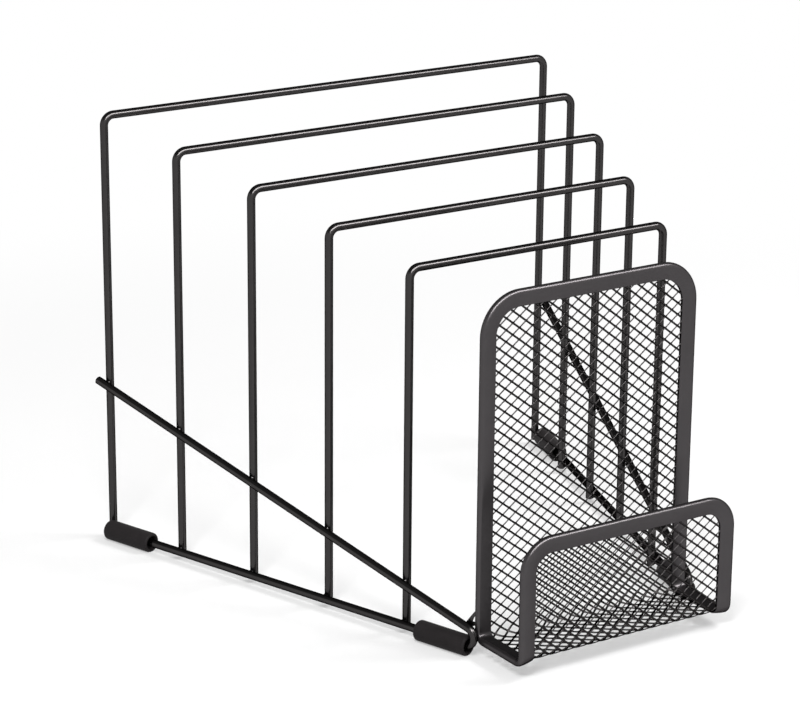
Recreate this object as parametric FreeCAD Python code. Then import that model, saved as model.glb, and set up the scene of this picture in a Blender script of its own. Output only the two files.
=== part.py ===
"""Desktop envelope sorter: a tapering rack of five wire dividers with an expanded-metal pocket at its front.

Everything is in millimetres. +Z is up, +X is to the right of someone facing the pocket, and the pocket
faces -Y. The origin lies on the table, under the centre of the sorter's box.
"""
import FreeCAD, Part
import math
import os

V = FreeCAD.Vector

# Wire of the whole rack
wire_diameter = 4.0
weld_bite = 0.15          # how far two crossing wires sink into each other at a spot weld
wire_bend_step = 22.5     # degrees; a bend is a chain of short straight runs

# Dividers: inverted U bends, narrower and lower step by step towards the front
divider_nodes = ("divider_rear", "divider_second", "divider_middle", "divider_fourth", "divider_front")
rear_divider_width = 262.0     # between the leg axes
divider_width_step = 29.5
rear_divider_height = 213.0    # from the rail's axis to the top bar's axis
divider_height_step = 10.3
divider_pitch = 45.25
divider_corner_radius = 5.0    # to the wire's axis

# Side frames: a base rail that turns back at the front in a tight bend and rises as a brace
brace_rear_height = 77.3       # above the rail, where the brace passes the rear leg
brace_tail = 3.5               # what stands out behind the rear leg
hairpin_radius = 4.5           # to the wire's axis
pocket_reach = 40.3            # from the front divider to the pocket's back panel

# Rubber sleeves pushed over the rails as feet
sleeve_diameter = 10.0
sleeve_length = 29.5
sleeve_grip_clearance = 0.02
sleeve_mouth_diameter = 7.0
sleeve_mouth_depth = 3.0
sleeve_slit_width = 0.9
sleeve_slit_angle = 15.0       # degrees from straight down, towards the outside
sleeve_flat_depth = 0.25       # pressed flat where it carries the rack
sleeve_leg_gap = 0.25          # beyond a wire's radius from the rear leg's axis, along the rail
sleeve_front_reach = 1.9       # past the start of the hairpin, which the mouth clears

# Pocket: a bent sheet of expanded metal in a folded rim
pocket_ground_gap = 5.7
pocket_height = 166.8
pocket_lip_height = 61.5
pocket_depth = 37.9            # outside, over both rims
back_corner_radius = 20.5
lip_corner_radius = 16.5
pocket_bend_radius = 6.0       # outside, at the two lower bends
rim_width = 8.2
rim_thickness = 3.6
rim_channel_depth = 5.6
rim_contact_bite = 0.05        # the hairpin pressed against the rim's edge by its weld
rim_corner_step = 15.0         # degrees
rim_edge_flats = 5             # round the outer edge
sheet_bend_step = 22.5         # degrees

# Expanded metal
mesh_cell_width = 7.2
mesh_cell_height = 5.5
strand_width = 0.85
strand_thickness = 0.5
mesh_channel_clearance = 0.02
mesh_margin_setback = 0.3      # the plain margin ends this far inside the rim's channel

# Weld web between each brace and the pocket's rim
web_thickness = 1.2
web_inset = 1.4                # inwards from the plane of the wire's axis
web_back_length = 6.4          # along the brace, behind the hairpin's tip
web_front_overlap = 1.8        # past the hairpin's axis
web_top_height = 17.9          # above the rail's axis
web_foot_height = 10.1
web_slot_back_length = 2.7     # from the slot's foot to the hairpin's tip
web_slot_width = 2.0
web_slot_foot_height = 11.5
web_slot_length = 3.0
web_slot_lean = 1.3            # the slot's top lies this far ahead of its foot

overrun = 1.0                  # how far cutting tools pass their stock

# Sizes that follow
wire_radius = wire_diameter / 2
divider_count = len(divider_nodes)
taper = divider_width_step / 2 / divider_pitch
splay = math.atan(taper)
side_offset = (wire_diameter - weld_bite) / math.cos(splay)   # leg axis to side wire axis, along X
rail_height = sleeve_diameter / 2 - sleeve_flat_depth
back_plane_run = (divider_count - 1) * divider_pitch + pocket_reach   # rear divider to back panel, along Y
pocket_half_width = (rear_divider_width / 2 - back_plane_run * taper + side_offset + rim_thickness / 2
                     - (wire_radius + rim_thickness / 2 - rim_contact_bite) / math.cos(splay))
hairpin_tip = back_plane_run / math.cos(splay) + (wire_radius + rim_thickness / 2) * math.tan(splay)
hairpin_centre = hairpin_tip - hairpin_radius                         # along the rail, from the rear leg
brace_angle = (math.atan2(brace_rear_height - hairpin_radius, hairpin_centre)
               - math.asin(hairpin_radius / math.hypot(hairpin_centre, brace_rear_height - hairpin_radius)))
panel_spacing = pocket_depth - rim_thickness                  # between the panels' middle planes
bend_middle_radius = pocket_bend_radius - rim_thickness / 2
rear_extent = (brace_tail * math.cos(splay)
               + wire_radius * math.hypot(math.sin(brace_angle), math.cos(brace_angle) * math.sin(splay)))
front_extent = back_plane_run + panel_spacing + rim_thickness / 2
rear_y = (front_extent - rear_extent) / 2                     # puts the origin under the box's centre
back_y = rear_y - back_plane_run
lip_y = back_y - panel_spacing
floor_z = pocket_ground_gap + rim_thickness / 2
back_top_z = pocket_ground_gap + pocket_height
lip_top_z = pocket_ground_gap + pocket_lip_height


def export(shape, node):
    """Write one node, once its solids are sound."""
    if not shape.isValid() or not shape.Solids:
        raise ValueError(node + " is not a sound solid")
    shape.exportStep("parts/" + node + ".step")
    print(node, "solids", len(shape.Solids), "volume", round(shape.Volume, 1))


def bend(centre, start, heading, turn, coarsest):
    """Corner points of one bend's short runs, each tangent to the true arc.

    The bend begins at start, heading that way, and turns about centre; no run turns more than coarsest.
    """
    count = math.ceil(turn / coarsest)
    step = math.radians(turn / count)
    spoke = (start - centre) * (1 / math.cos(step / 2))
    ahead = heading * spoke.Length
    return [centre + spoke * math.cos((run + 0.5) * step) + ahead * math.sin((run + 0.5) * step)
            for run in range(count)]


def swept(outline, girth, points):
    """A solid with one outline, reaching no further than girth, along mitred straight runs."""
    section = Part.Face(outline)
    headings = [(end - start).normalize() for start, end in zip(points, points[1:])]
    runs = []
    for number, heading in enumerate(headings):
        start, end = points[number:number + 2]
        lead, tail, tools = V(0, 0, 0), V(0, 0, 0), []
        if number:
            lead = heading * girth
            mitre = (heading + headings[number - 1]) * -1
            tools.append(Part.makeCylinder(2 * girth, 2 * girth, start, mitre))
        if end != points[-1]:
            tail = heading * girth
            tools.append(Part.makeCylinder(2 * girth, 2 * girth, end, heading + headings[number + 1]))
        run = section.translated(lead * -1).extrude(end - start + lead + tail)
        runs.append(run.cut(tools))
        if end != points[-1]:
            turn = math.degrees(heading.getAngle(headings[number + 1]))
            section = section.translated(end - start).rotated(end, heading.cross(headings[number + 1]), turn)
    return runs[0].multiFuse(runs[1:])


def bent_wire(points):
    """A round wire along a chain of points."""
    circle = Part.makeCircle(wire_radius, points[0], points[1] - points[0])
    return swept(Part.Wire(circle), wire_radius, points)


def divider(index):
    """One inverted U: leg, rounded corner, top bar, rounded corner, leg."""
    half = (rear_divider_width - index * divider_width_step) / 2
    y = rear_y - index * divider_pitch
    foot = rail_height - wire_radius
    top = rail_height + rear_divider_height - index * divider_height_step
    up, across = V(0, 0, 1), V(1, 0, 0)
    radius = divider_corner_radius
    shoulder = top - radius
    left = bend(V(radius - half, y, shoulder), V(-half, y, shoulder), up, 90, wire_bend_step)
    right = bend(V(half - radius, y, shoulder), V(half - radius, y, top), across, 90, wire_bend_step)
    return bent_wire([V(-half, y, foot)] + left + right + [V(half, y, foot)])


def side_point(side, along, height, inward=0.0):
    """A point of a side frame's plane: along the rail from the rear leg, above the rail's axis."""
    x = rear_divider_width / 2 + side_offset - along * math.sin(splay) - inward * math.cos(splay)
    y = rear_y - along * math.cos(splay) + inward * math.sin(splay)
    return V(side * x, y, rail_height + height)


def lift_off():
    """Where the hairpin bend ends and the brace begins, in a side frame's plane."""
    return (hairpin_centre + hairpin_radius * math.sin(brace_angle),
            hairpin_radius + hairpin_radius * math.cos(brace_angle))


def side_frame(side):
    """Base rail, hairpin bend and rising brace, bent from one wire in one plane."""
    heading = side_point(side, 1, 0) - side_point(side, 0, 0)
    hairpin = bend(side_point(side, hairpin_centre, hairpin_radius), side_point(side, hairpin_centre, 0),
                   heading, 180 - math.degrees(brace_angle), wire_bend_step)
    brace_end = side_point(side, -brace_tail, brace_rear_height + brace_tail * math.tan(brace_angle))
    return bent_wire([side_point(side, 0, 0)] + hairpin + [brace_end])


def sleeve(side, begin):
    """A thick rubber tube gripping the rail, with wider mouths, a slit and a flat underneath."""
    start = side_point(side, begin, 0)
    axis = side_point(side, begin + sleeve_length, 0) - start
    axis.normalize()
    tube = Part.makeCylinder(sleeve_diameter / 2, sleeve_length, start, axis)
    bore_radius = wire_radius + sleeve_grip_clearance
    tools = [Part.makeCylinder(bore_radius, sleeve_length + 2 * overrun, start - axis * overrun, axis)]
    for mouth in (start - axis * overrun, start + axis * (sleeve_length - sleeve_mouth_depth)):
        tools.append(Part.makeCylinder(sleeve_mouth_diameter / 2, sleeve_mouth_depth + overrun, mouth, axis))
    slit = Part.makeBox(sleeve_slit_width, sleeve_length + 2 * overrun, sleeve_diameter,
                        V(-sleeve_slit_width / 2, -overrun, -sleeve_diameter))
    slit.rotate(V(0, 0, 0), V(0, 1, 0), side * sleeve_slit_angle)
    slit.rotate(V(0, 0, 0), V(0, 0, 1), 180 - side * math.degrees(splay))
    slit.translate(start)
    tools.append(slit)
    floor = Part.makeBox(2 * sleeve_length, 2 * sleeve_length, sleeve_diameter,
                         V(start.x - sleeve_length, start.y - sleeve_length * 3 / 2, -sleeve_diameter))
    tools.append(floor)
    return tube.cut(tools)


def rim_section(edge, inward, across):
    """The folded rim's section: rounded outer edge, open channel on the inner side."""
    half = rim_thickness / 2
    slot = strand_thickness + mesh_channel_clearance

    def place(depth, offset):
        return edge + inward * depth + across * offset

    depth = rim_width - rim_channel_depth
    corners = [place(rim_width, half), place(rim_width, slot), place(depth, slot),
               place(depth, -slot), place(rim_width, -slot), place(rim_width, -half)]
    for corner in range(rim_edge_flats + 1):
        turn = math.pi * corner / rim_edge_flats
        corners.append(place(half - half * math.sin(turn), -half * math.cos(turn)))
    return Part.makePolygon(corners + corners[:1])


def rim_arch(panel_y, top_z, radius):
    """A panel's share of the rim: two uprights, two corners and the top."""
    low = floor_z + bend_middle_radius
    half = pocket_half_width
    shoulder = top_z - radius
    start = V(-half, panel_y, low)
    left = bend(V(radius - half, panel_y, shoulder), V(-half, panel_y, shoulder), V(0, 0, 1),
                90, rim_corner_step)
    right = bend(V(half - radius, panel_y, shoulder), V(half - radius, panel_y, top_z), V(1, 0, 0),
                 90, rim_corner_step)
    section = rim_section(start, V(1, 0, 0), V(0, 1, 0))
    return swept(section, rim_width, [start] + left + right + [V(half, panel_y, low)])


def rim_side(side):
    """The rim along one side of the pocket's floor, with its two bends."""
    x = side * pocket_half_width
    low = floor_z + bend_middle_radius
    rear, front = back_y - bend_middle_radius, lip_y + bend_middle_radius
    start = V(x, back_y, low)
    rear_bend = bend(V(x, rear, low), start, V(0, 0, -1), 90, sheet_bend_step)
    front_bend = bend(V(x, front, low), V(x, front, floor_z), V(0, -1, 0), 90, sheet_bend_step)
    section = rim_section(start, V(-side, 0, 0), V(0, 1, 0))
    return swept(section, rim_width, [start] + rear_bend + front_bend + [V(x, lip_y, low)])


def pocket_rim():
    """The rim all round the bent sheet, as one piece."""
    arches = [rim_arch(back_y, back_top_z, back_corner_radius), rim_arch(lip_y, lip_top_z, lip_corner_radius)]
    return arches[0].multiFuse([arches[1], rim_side(-1), rim_side(1)]).removeSplitter()


def sheet_bend(centre_y, facing, offset, turns):
    """Points of the bent sheet's section in a lower bend, at an offset from its middle towards the inside.

    facing is -1 or 1, the way from the bend's centre to the panel, and each turn is in degrees from there.
    """
    points = []
    for turn in turns:
        reach = bend_middle_radius - offset
        if turn % sheet_bend_step:
            reach = reach / math.cos(math.radians(sheet_bend_step / 2))
        angle = math.radians(turn)
        points.append(V(-pocket_half_width, centre_y + facing * reach * math.cos(angle),
                        floor_z + bend_middle_radius - reach * math.sin(angle)))
    return points


def sheet(points, width_inset):
    """A plate with this section, run across the pocket."""
    points = [point + V(width_inset, 0, 0) for point in points]
    width = 2 * (pocket_half_width - width_inset)
    return Part.Face(Part.makePolygon(points + points[:1])).extrude(V(width, 0, 0))


def upright_plate(panel_y, towards, top_z, inset, radius, near, far):
    """A bent plate that stands on the 45 degree line of its lower bend, between two offsets from its middle.

    towards is -1 where the pocket's inside lies at lower Y than the panel, and +1 where it lies at higher Y.
    """
    centre_y = panel_y + towards * bend_middle_radius
    turns = (0, sheet_bend_step / 2, sheet_bend_step * 3 / 2, 45)
    near_points = sheet_bend(centre_y, -towards, near, turns)
    far_points = sheet_bend(centre_y, -towards, far, turns)
    near_top, far_top = (V(point.x, point.y, top_z) for point in (near_points[0], far_points[0]))
    plate = sheet([near_top] + near_points + far_points[::-1] + [far_top], inset)
    return plate.common(upright_prism(panel_y, top_z, inset, radius))


def upright_prism(panel_y, top_z, inset, radius):
    """A panel's outline, inset, run through its thickness and well past it."""
    half = pocket_half_width - inset
    top = top_z - inset
    small = radius - inset
    reach = rim_thickness + pocket_bend_radius
    y = panel_y - reach
    low = floor_z - overrun
    left = bend(V(small - half, y, top - small), V(-half, y, top - small), V(0, 0, 1), 90, rim_corner_step)
    right = bend(V(half - small, y, top - small), V(half - small, y, top), V(1, 0, 0), 90, rim_corner_step)
    outline = [V(-half, y, low)] + left + right + [V(half, y, low)]
    return Part.Face(Part.makePolygon(outline + outline[:1])).extrude(V(0, 2 * reach, 0))


def floor_plate(inset, near, far):
    """The pocket's floor between its bends' 45 degree lines, between two offsets from its middle."""
    turns = (45, 45 + sheet_bend_step / 2, 45 + sheet_bend_step * 3 / 2)
    sections = []
    for offset in (near, far):
        rear = sheet_bend(back_y - bend_middle_radius, 1, offset, turns)
        front = sheet_bend(lip_y + bend_middle_radius, -1, offset, turns)
        sections.append(rear + front[::-1])
    return sheet(sections[0] + sections[1][::-1], inset)


def strands(slope, start_x, first, along, through, run):
    """Parallel diagonal strands as prisms, one mesh cell apart.

    They cross the line through first at start_x plus whole cells. along is the direction in which the
    sheet runs away from that line, slope the X gained per unit of run, and through the prisms' depth.
    """
    half = pocket_half_width
    reach = abs(slope) * run
    lowest = math.floor((-half - reach - start_x) / mesh_cell_width)
    highest = math.ceil((half + reach - start_x) / mesh_cell_width)
    side = strand_width / 2 * math.hypot(1, slope)
    prisms = []
    for step in range(lowest, highest + 1):
        x = start_x + step * mesh_cell_width
        begin = first - along * overrun + V(x - slope * overrun, 0, 0)
        end = first + along * (run + overrun) + V(x + slope * (run + overrun), 0, 0)
        corners = [begin - V(side, 0, 0), begin + V(side, 0, 0), end + V(side, 0, 0), end - V(side, 0, 0)]
        face = Part.Face(Part.makePolygon(corners + corners[:1]))
        prisms.append(face.extrude(through))
    return prisms


def lattice_layer(plate, opening, prisms):
    """One layer of a mesh panel: its strands, joined to the plain margin that the rim holds."""
    margin = plate.cut(opening)
    pieces = [plate.common(prism) for prism in prisms]
    return margin.multiFuse([piece for piece in pieces if piece.Solids]).removeSplitter()


def mesh_slope():
    """X gained per unit of run by a strand."""
    return mesh_cell_width / mesh_cell_height


def mitre_drop():
    """How far a bend's 45 degree line lies from the floor's and the panel's middle planes."""
    return bend_middle_radius * (1 - math.cos(math.radians(45)))


def upright_mesh(panel_y, towards, top_z, radius, layer, start_x):
    """One layer of a standing mesh panel, with its plain margin in the rim's channel."""
    slope, near = layer
    inset = rim_width - rim_channel_depth + mesh_channel_clearance
    opening = upright_prism(panel_y, top_z, rim_width - mesh_margin_setback, radius)
    reach = rim_thickness + pocket_bend_radius
    first = V(0, panel_y - reach, floor_z + mitre_drop())
    plate = upright_plate(panel_y, towards, top_z, inset, radius, near, near + strand_thickness)
    prisms = strands(slope, start_x, first, V(0, 0, 1), V(0, 2 * reach, 0), top_z - floor_z)
    return lattice_layer(plate, opening, prisms)


def floor_mesh(layer):
    """One layer of the pocket's mesh floor; the layers lie face to face."""
    slope, near = layer
    inset = rim_width - rim_channel_depth + mesh_channel_clearance
    half = pocket_half_width - rim_width + mesh_margin_setback
    drop = mitre_drop()
    run = panel_spacing - 2 * drop
    below = rim_thickness + pocket_bend_radius
    opening = Part.makeBox(2 * half, panel_spacing + 2 * overrun, 2 * below,
                           V(-half, lip_y - overrun, floor_z - below))
    first = V(0, back_y - drop, floor_z - below)
    plate = floor_plate(inset, near, near + strand_thickness)
    prisms = strands(slope, 0.0, first, V(0, -1, 0), V(0, 0, 2 * below), run)
    return lattice_layer(plate, opening, prisms)


def weld_web(side, frame, rim):
    """The small web that ties a brace to the pocket's rim above the hairpin, with its leaning slot."""
    back = hairpin_tip - web_back_length
    front = hairpin_tip + web_front_overlap
    outline = [(back, brace_rear_height - back * math.tan(brace_angle)), (front, web_top_height),
               (front, web_foot_height), lift_off()]
    begin = hairpin_tip - web_slot_back_length
    end = begin + web_slot_width
    low, high = web_slot_foot_height, web_slot_foot_height + web_slot_length
    slot = [(begin, low), (end, low), (end + web_slot_lean, high), (begin + web_slot_lean, high)]
    plates = []
    for points in (outline, slot):
        corners = [side_point(side, along, height, web_inset) for along, height in points]
        inward = side_point(side, 0, 0, web_thickness) - side_point(side, 0, 0)
        plates.append(Part.Face(Part.makePolygon(corners + corners[:1])).extrude(inward))
    return plates[0].cut([frame, rim, plates[1]])


os.makedirs("parts", exist_ok=True)
dividers = [divider(index) for index in range(divider_count)]
for loop, node in zip(dividers, divider_nodes):
    export(loop, node)

frames = {-1: side_frame(-1), 1: side_frame(1)}
side_names = {-1: "left", 1: "right"}
for side, name in side_names.items():
    export(frames[side], "side_frame_" + name)
    rear_sleeve = sleeve(side, wire_radius + sleeve_leg_gap)
    notched_sleeve = rear_sleeve.cut(dividers[0])     # the soft rubber gives way to the leg beside it
    export(notched_sleeve, "foot_sleeve_rear_" + name)
    front_sleeve = sleeve(side, hairpin_centre + sleeve_front_reach - sleeve_length)
    export(front_sleeve, "foot_sleeve_front_" + name)

rim = pocket_rim()
export(rim, "pocket_rim")
for name, sign, near in (("inner", 1, 0.0), ("outer", -1, -strand_thickness)):
    slope = sign * mesh_slope()
    run_over_floor = (panel_spacing - 2 * mitre_drop()) * slope
    back = upright_mesh(back_y, -1, back_top_z, back_corner_radius, (-slope, near), 0.0)
    lip = upright_mesh(lip_y, 1, lip_top_z, lip_corner_radius, (slope, near), run_over_floor)
    export(back, "mesh_back_" + name)
    export(floor_mesh((slope, near)), "mesh_floor_" + name)
    export(lip, "mesh_lip_" + name)
for side, name in side_names.items():
    export(weld_web(side, frames[side], rim), "weld_web_" + name)
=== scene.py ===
"""Looks of a desktop envelope sorter: wire dividers and side frames, rubber feet, a mesh pocket."""

import logging
import math
from dataclasses import dataclass
from enum import Enum
from typing import Mapping, Optional, Sequence, Union

import bpy
import numpy as np
from mathutils import Matrix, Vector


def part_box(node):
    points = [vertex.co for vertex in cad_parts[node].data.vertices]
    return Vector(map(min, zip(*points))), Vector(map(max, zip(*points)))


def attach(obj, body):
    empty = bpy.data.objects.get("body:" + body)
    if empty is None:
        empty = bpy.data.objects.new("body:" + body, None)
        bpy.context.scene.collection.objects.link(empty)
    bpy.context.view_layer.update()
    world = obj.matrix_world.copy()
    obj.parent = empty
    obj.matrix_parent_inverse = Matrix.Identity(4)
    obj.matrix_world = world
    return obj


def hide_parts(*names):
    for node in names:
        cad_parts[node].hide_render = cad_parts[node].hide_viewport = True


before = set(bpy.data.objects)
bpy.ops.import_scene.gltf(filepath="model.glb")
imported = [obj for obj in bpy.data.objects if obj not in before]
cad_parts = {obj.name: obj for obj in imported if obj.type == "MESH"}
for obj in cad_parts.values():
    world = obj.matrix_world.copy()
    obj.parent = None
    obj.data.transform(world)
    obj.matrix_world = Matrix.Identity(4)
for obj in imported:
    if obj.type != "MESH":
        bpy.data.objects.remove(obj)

LOG = logging.getLogger("envelope_sorter")
BODY = "root"
Number = Union[float, "Signal"]
Colour = tuple[float, float, float]
Place = tuple[float, float, float]
RIGHT, BACK, UP = np.eye(3)
MIRROR = np.array([-1.0, 1.0, 1.0])
WHITE = (1.0, 1.0, 1.0, 1.0)


# Surfaces worked out with numpy

@dataclass(frozen=True)
class Surface:
    """Points and quads of one closed skin, with any flat end caps."""

    points: np.ndarray
    quads: np.ndarray
    caps: tuple[tuple[int, ...], ...] = ()


@dataclass(frozen=True)
class Track:
    """A line through space: its points and the unit heading at each."""

    points: np.ndarray
    headings: np.ndarray


def unit(vectors: np.ndarray) -> np.ndarray:
    """Bring vectors to length one."""
    return vectors / np.linalg.norm(vectors, axis=-1, keepdims=True)


def outward(surface: Surface) -> Surface:
    """Turn a closed skin's faces outwards.

    The volume under a skin is the sum of a . (b x c) / 6 over its triangles; where it comes out
    negative, every face is turned round.

    Args:
        surface: a closed skin whose faces agree with each other.

    Returns:
        The same skin, facing outwards.
    """
    fans = [np.array([[cap[0], cap[i], cap[i + 1]] for i in range(1, len(cap) - 1)])
            for cap in surface.caps]
    halves = [surface.quads[:, [0, 1, 2]], surface.quads[:, [0, 2, 3]]]
    corner = surface.points[np.concatenate(halves + fans)]
    volume = np.einsum("ij,ij->i", corner[:, 0], np.cross(corner[:, 1], corner[:, 2])).sum()
    if volume >= 0:
        return surface
    return Surface(surface.points, surface.quads[:, ::-1], tuple(cap[::-1] for cap in surface.caps))


def ring_skin(rings: np.ndarray, closed: bool = False) -> Surface:
    """Join rings of points, one after another, into a closed skin that faces outwards.

    Args:
        rings: the points, as rings by points round a ring by three.
        closed: join the last ring to the first; otherwise each end gets a flat cap.

    Returns:
        The skin.
    """
    here = np.arange(rings.shape[0] * rings.shape[1]).reshape(rings.shape[:2])
    ahead, beside = np.roll(here, -1, axis=0), np.roll(here, -1, axis=1)
    quads = np.stack([here, ahead, np.roll(ahead, -1, axis=1), beside], axis=-1)
    if closed:
        return outward(Surface(rings.reshape(-1, 3), quads.reshape(-1, 4)))
    caps = (tuple(here[0]), tuple(here[-1, ::-1]))
    return outward(Surface(rings.reshape(-1, 3), quads[:-1].reshape(-1, 4), caps))


def straight(start: np.ndarray, end: np.ndarray, count: int) -> Track:
    """A straight run: start + t (end - start) for t from 0 to 1.

    Args:
        start: first point.
        end: last point.
        count: number of points.

    Returns:
        The run as a track.
    """
    share = np.linspace(0.0, 1.0, count)[:, None]
    return Track(start + share * (end - start), np.repeat(unit(end - start)[None], count, axis=0))


def turned(centre: np.ndarray, start: np.ndarray, heading: np.ndarray, angle: float, count: int) -> Track:
    """A round bend: centre + spoke cos(a) + heading |spoke| sin(a) for a from 0 to the bend's angle.

    Args:
        centre: the bend's centre.
        start: first point.
        heading: unit heading at the first point.
        angle: how far the bend turns, in radians.
        count: number of points.

    Returns:
        The bend as a track.
    """
    spoke = start - centre
    a = np.linspace(0.0, angle, count)[:, None]
    reach = np.linalg.norm(spoke)
    return Track(centre + spoke * np.cos(a) + heading * reach * np.sin(a),
                 heading * np.cos(a) - spoke / reach * np.sin(a))


def joined(tracks: Sequence[Track]) -> Track:
    """Put tracks end to end, dropping each point that repeats the one before.

    Args:
        tracks: two or more, each beginning where the last one ends.

    Returns:
        One track.
    """
    first, rest = tracks[0], tracks[1:]
    return Track(np.concatenate([first.points] + [t.points[1:] for t in rest]),
                 np.concatenate([first.headings] + [t.headings[1:] for t in rest]))


def round_wire(track: Track, normal: np.ndarray, radius: float, bevel: float, sides: int = 24) -> Surface:
    """A round wire along a flat track, with bevelled cut ends.

    Point (s, a) = track(s) + r(s) (cos(a) across(s) + sin(a) normal), where across is heading x normal
    and r drops by the bevel at both ends.

    Args:
        track: the wire's axis, in one plane.
        normal: unit normal of that plane.
        radius: the wire's radius.
        bevel: width of the bevel at each cut end.
        sides: points round the wire.

    Returns:
        The closed skin of the wire.
    """
    head, tail = track.headings[0], track.headings[-1]
    points = np.concatenate([track.points[:1], track.points[:1] + head * bevel, track.points[1:-1],
                             track.points[-1:] - tail * bevel, track.points[-1:]])
    headings = np.concatenate([track.headings[:1], track.headings, track.headings[-1:]])
    radii = np.full(len(points), radius)
    radii[[0, -1]] = radius - bevel
    turn = np.linspace(0.0, 2 * np.pi, sides, endpoint=False)
    across = np.cross(headings, normal)
    ring = np.cos(turn)[None, :, None] * across[:, None, :] + np.sin(turn)[None, :, None] * normal
    return ring_skin(points[:, None, :] + radii[:, None, None] * ring)


# Materials

class Signal:
    """One number on its way through a material's nodes; arithmetic on it adds Math nodes."""

    def __init__(self, graph: "Graph", socket: bpy.types.NodeSocket) -> None:
        """Wrap an output socket of a graph."""
        self.graph = graph
        self.socket = socket

    def combine(self, operation: str, first: Number, second: Number) -> "Signal":
        """Add a Math node.

        Args:
            operation: the Math node's operation.
            first: its first value or signal.
            second: its second value or signal.

        Returns:
            The node's result.
        """
        return self.graph.signal("ShaderNodeMath", {"operation": operation}, {0: first, 1: second})

    def __add__(self, other: Number) -> "Signal":
        """self + other."""
        return self.combine("ADD", self, other)

    __radd__ = __add__

    def __sub__(self, other: Number) -> "Signal":
        """self - other."""
        return self.combine("SUBTRACT", self, other)

    def __rsub__(self, other: Number) -> "Signal":
        """other - self."""
        return self.combine("SUBTRACT", other, self)

    def __mul__(self, other: Number) -> "Signal":
        """self * other."""
        return self.combine("MULTIPLY", self, other)

    __rmul__ = __mul__

    def at_least(self, floor: Number) -> "Signal":
        """The larger of self and floor."""
        return self.combine("MAXIMUM", self, floor)

    def power(self, exponent: Number) -> "Signal":
        """self raised to exponent."""
        return self.combine("POWER", self, exponent)


class Graph:
    """The nodes of one material, or of the world."""

    def __init__(self, owner: Union[bpy.types.Material, bpy.types.World]) -> None:
        """Empty the nodes of a material or world, to fill them anew.

        Args:
            owner: the material or world.
        """
        owner.use_nodes = True
        self.owner = owner
        self.tree = owner.node_tree
        self.tree.nodes.clear()

    def node(self, kind: str, settings: Optional[Mapping[str, object]] = None,
             inputs: Optional[Mapping[Union[str, int], object]] = None) -> bpy.types.Node:
        """Add a node, set it up and feed its sockets.

        Args:
            kind: the node's type.
            settings: its properties, set before its sockets.
            inputs: value, signal or output socket for each input, by name or number.

        Returns:
            The new node.
        """
        made = self.tree.nodes.new(kind)
        for key, value in (settings or {}).items():
            setattr(made, key, value)
        for key, value in (inputs or {}).items():
            if isinstance(value, Signal):
                value = value.socket
            if isinstance(value, bpy.types.NodeSocket):
                self.tree.links.new(value, made.inputs[key])
            else:
                made.inputs[key].default_value = value
        return made

    def signal(self, kind: str, settings: Optional[Mapping[str, object]] = None,
               inputs: Optional[Mapping[Union[str, int], object]] = None,
               output: Union[str, int] = 0) -> Signal:
        """Add a node and wrap one of its outputs.

        Args:
            kind: the node's type.
            settings: its properties.
            inputs: what feeds its sockets.
            output: the output to wrap, by name or number.

        Returns:
            The output as a signal.
        """
        return Signal(self, self.node(kind, settings, inputs).outputs[output])

    def noise(self, place: bpy.types.NodeSocket, scale: float, detail: float, roughness: float) -> Signal:
        """Cloudy noise from 0 to 1.

        Args:
            place: coordinates to read.
            scale: blobs per metre.
            detail: number of finer layers.
            roughness: strength of the finer layers.

        Returns:
            The noise's value.
        """
        return self.signal("ShaderNodeTexNoise", None,
                           {"Vector": place, "Scale": scale, "Detail": detail, "Roughness": roughness})

    def blend_colours(self, share: Number, low: Union[Colour, bpy.types.NodeSocket],
                      high: Union[Colour, bpy.types.NodeSocket]) -> bpy.types.NodeSocket:
        """Mix two colours.

        Args:
            share: 0 gives low and 1 gives high.
            low: first colour, or its socket.
            high: second colour, or its socket.

        Returns:
            The mixed colour's socket.
        """
        low, high = ((*end, 1.0) if isinstance(end, tuple) else end for end in (low, high))
        return self.node("ShaderNodeMix", {"data_type": "RGBA"},
                         {"Factor": share, 6: low, 7: high}).outputs[2]

    def bump(self, height: Signal, strength: float, distance: float) -> bpy.types.NodeSocket:
        """A normal bent by a height from 0 to 1, which stands for distance metres."""
        return self.node("ShaderNodeBump", None,
                         {"Strength": strength, "Distance": distance, "Height": height}).outputs[0]

    def place(self) -> bpy.types.NodeSocket:
        """Object coordinates, in metres."""
        return self.node("ShaderNodeTexCoord").outputs["Object"]

    def facing_up(self) -> Signal:
        """1 on faces that look straight up, 0 on walls and undersides."""
        normal = self.node("ShaderNodeNewGeometry").outputs["Normal"]
        return self.signal("ShaderNodeSeparateXYZ", None, {0: normal}, "Z").at_least(0.0)

    def ray(self, *kinds: str) -> Signal:
        """Tell kinds of rays apart.

        Args:
            kinds: names of the kinds to pick, such as Camera.

        Returns:
            1 for rays of these kinds, 0 for others.
        """
        path = self.node("ShaderNodeLightPath")
        first, *rest = [Signal(self, path.outputs["Is " + kind + " Ray"]) for kind in kinds]
        return sum(rest, first)

    def finish(self, shader: bpy.types.Node) -> Union[bpy.types.Material, bpy.types.World]:
        """Lead a shader to the output.

        Args:
            shader: the node that makes the surface.

        Returns:
            The finished material or world.
        """
        world = isinstance(self.owner, bpy.types.World)
        self.node("ShaderNodeOutputWorld" if world else "ShaderNodeOutputMaterial", None,
                  {"Surface": shader.outputs[0]})
        return self.owner


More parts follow.
